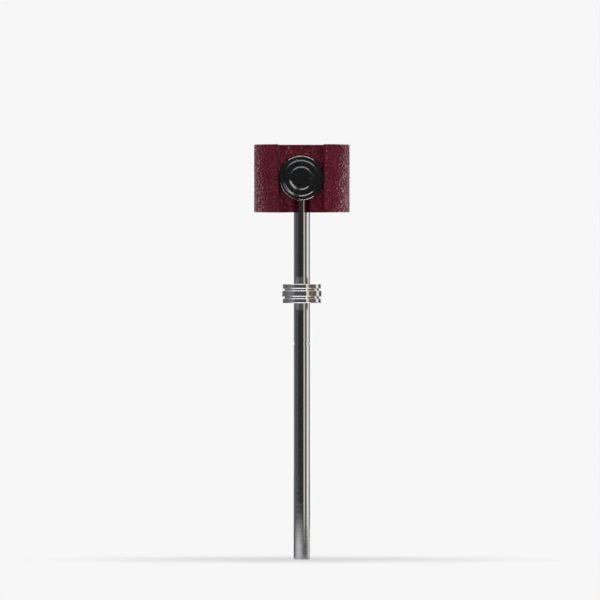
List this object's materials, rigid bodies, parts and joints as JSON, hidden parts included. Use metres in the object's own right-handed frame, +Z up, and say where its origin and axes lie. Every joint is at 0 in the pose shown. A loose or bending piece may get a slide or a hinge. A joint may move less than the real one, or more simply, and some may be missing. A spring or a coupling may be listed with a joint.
{
  "type": "bass drum beater",
  "caption": "Bass drum beater: hard plastic core with a stepped round striking face, set in the channel of a round foam rubber head on a chromed shaft, with a memory lock collar.",
  "frame": {"origin": "centre of the shaft's lower end", "axes": "+Z up the shaft towards the head, -Y the way the stepped striking face looks, +X to the right as seen from the drum"},
  "size_m": [0.0462, 0.0434, 0.2],
  "materials": {
    "shaft_chrome": "mirror chrome plate on steel",
    "lock_chrome": "turned and chrome plated steel",
    "core_plastic": "black moulded hard plastic, half gloss",
    "foam_rubber": "maroon foam rubber with a cut, slightly napped surface",
    "pin_steel": "rolled spring steel",
    "insert_brass": "turned brass",
    "screw_steel": "zinc plated steel"
  },
  "bodies": {
    "shaft_and_core": {"shaft": "shaft_chrome", "core": "core_plastic", "shaft_pin": "pin_steel", "core_insert": "insert_brass"},
    "foam": {"foam_head": "foam_rubber", "foam_washer": "screw_steel"},
    "adjuster": {"adjusting_screw": "screw_steel"},
    "lock": {"memory_lock": "lock_chrome"},
    "lock_key_screw": {"memory_lock_screw": "lock_chrome"}
  },
  "joints": [
    {"name": "foam_adjust", "type": "slide", "parent": "shaft_and_core", "child": "foam", "axis": [0, 1, 0], "range_m": [-0.0025, 0.0025]},
    {"name": "adjusting_screw_turn", "type": "hinge", "parent": "foam", "child": "adjuster", "pos_m": [0, 0.0193, 0.1836], "axis": [0, 1, 0], "range_deg": [-900, 900]},
    {"name": "memory_lock_slide", "type": "slide", "parent": "shaft_and_core", "child": "lock", "axis": [0, 0, 1], "range_m": [-0.12, 0.034]},
    {"name": "memory_lock_screw_turn", "type": "hinge", "parent": "lock", "child": "lock_key_screw", "pos_m": [0, 0.0098, 0.1281], "axis": [0, 1, 0], "range_deg": [0, 720]}
  ],
  "couplings": [
    {"joint": "adjusting_screw_turn", "follows": "foam_adjust", "rad_per_m": 6283.2}
  ]
}
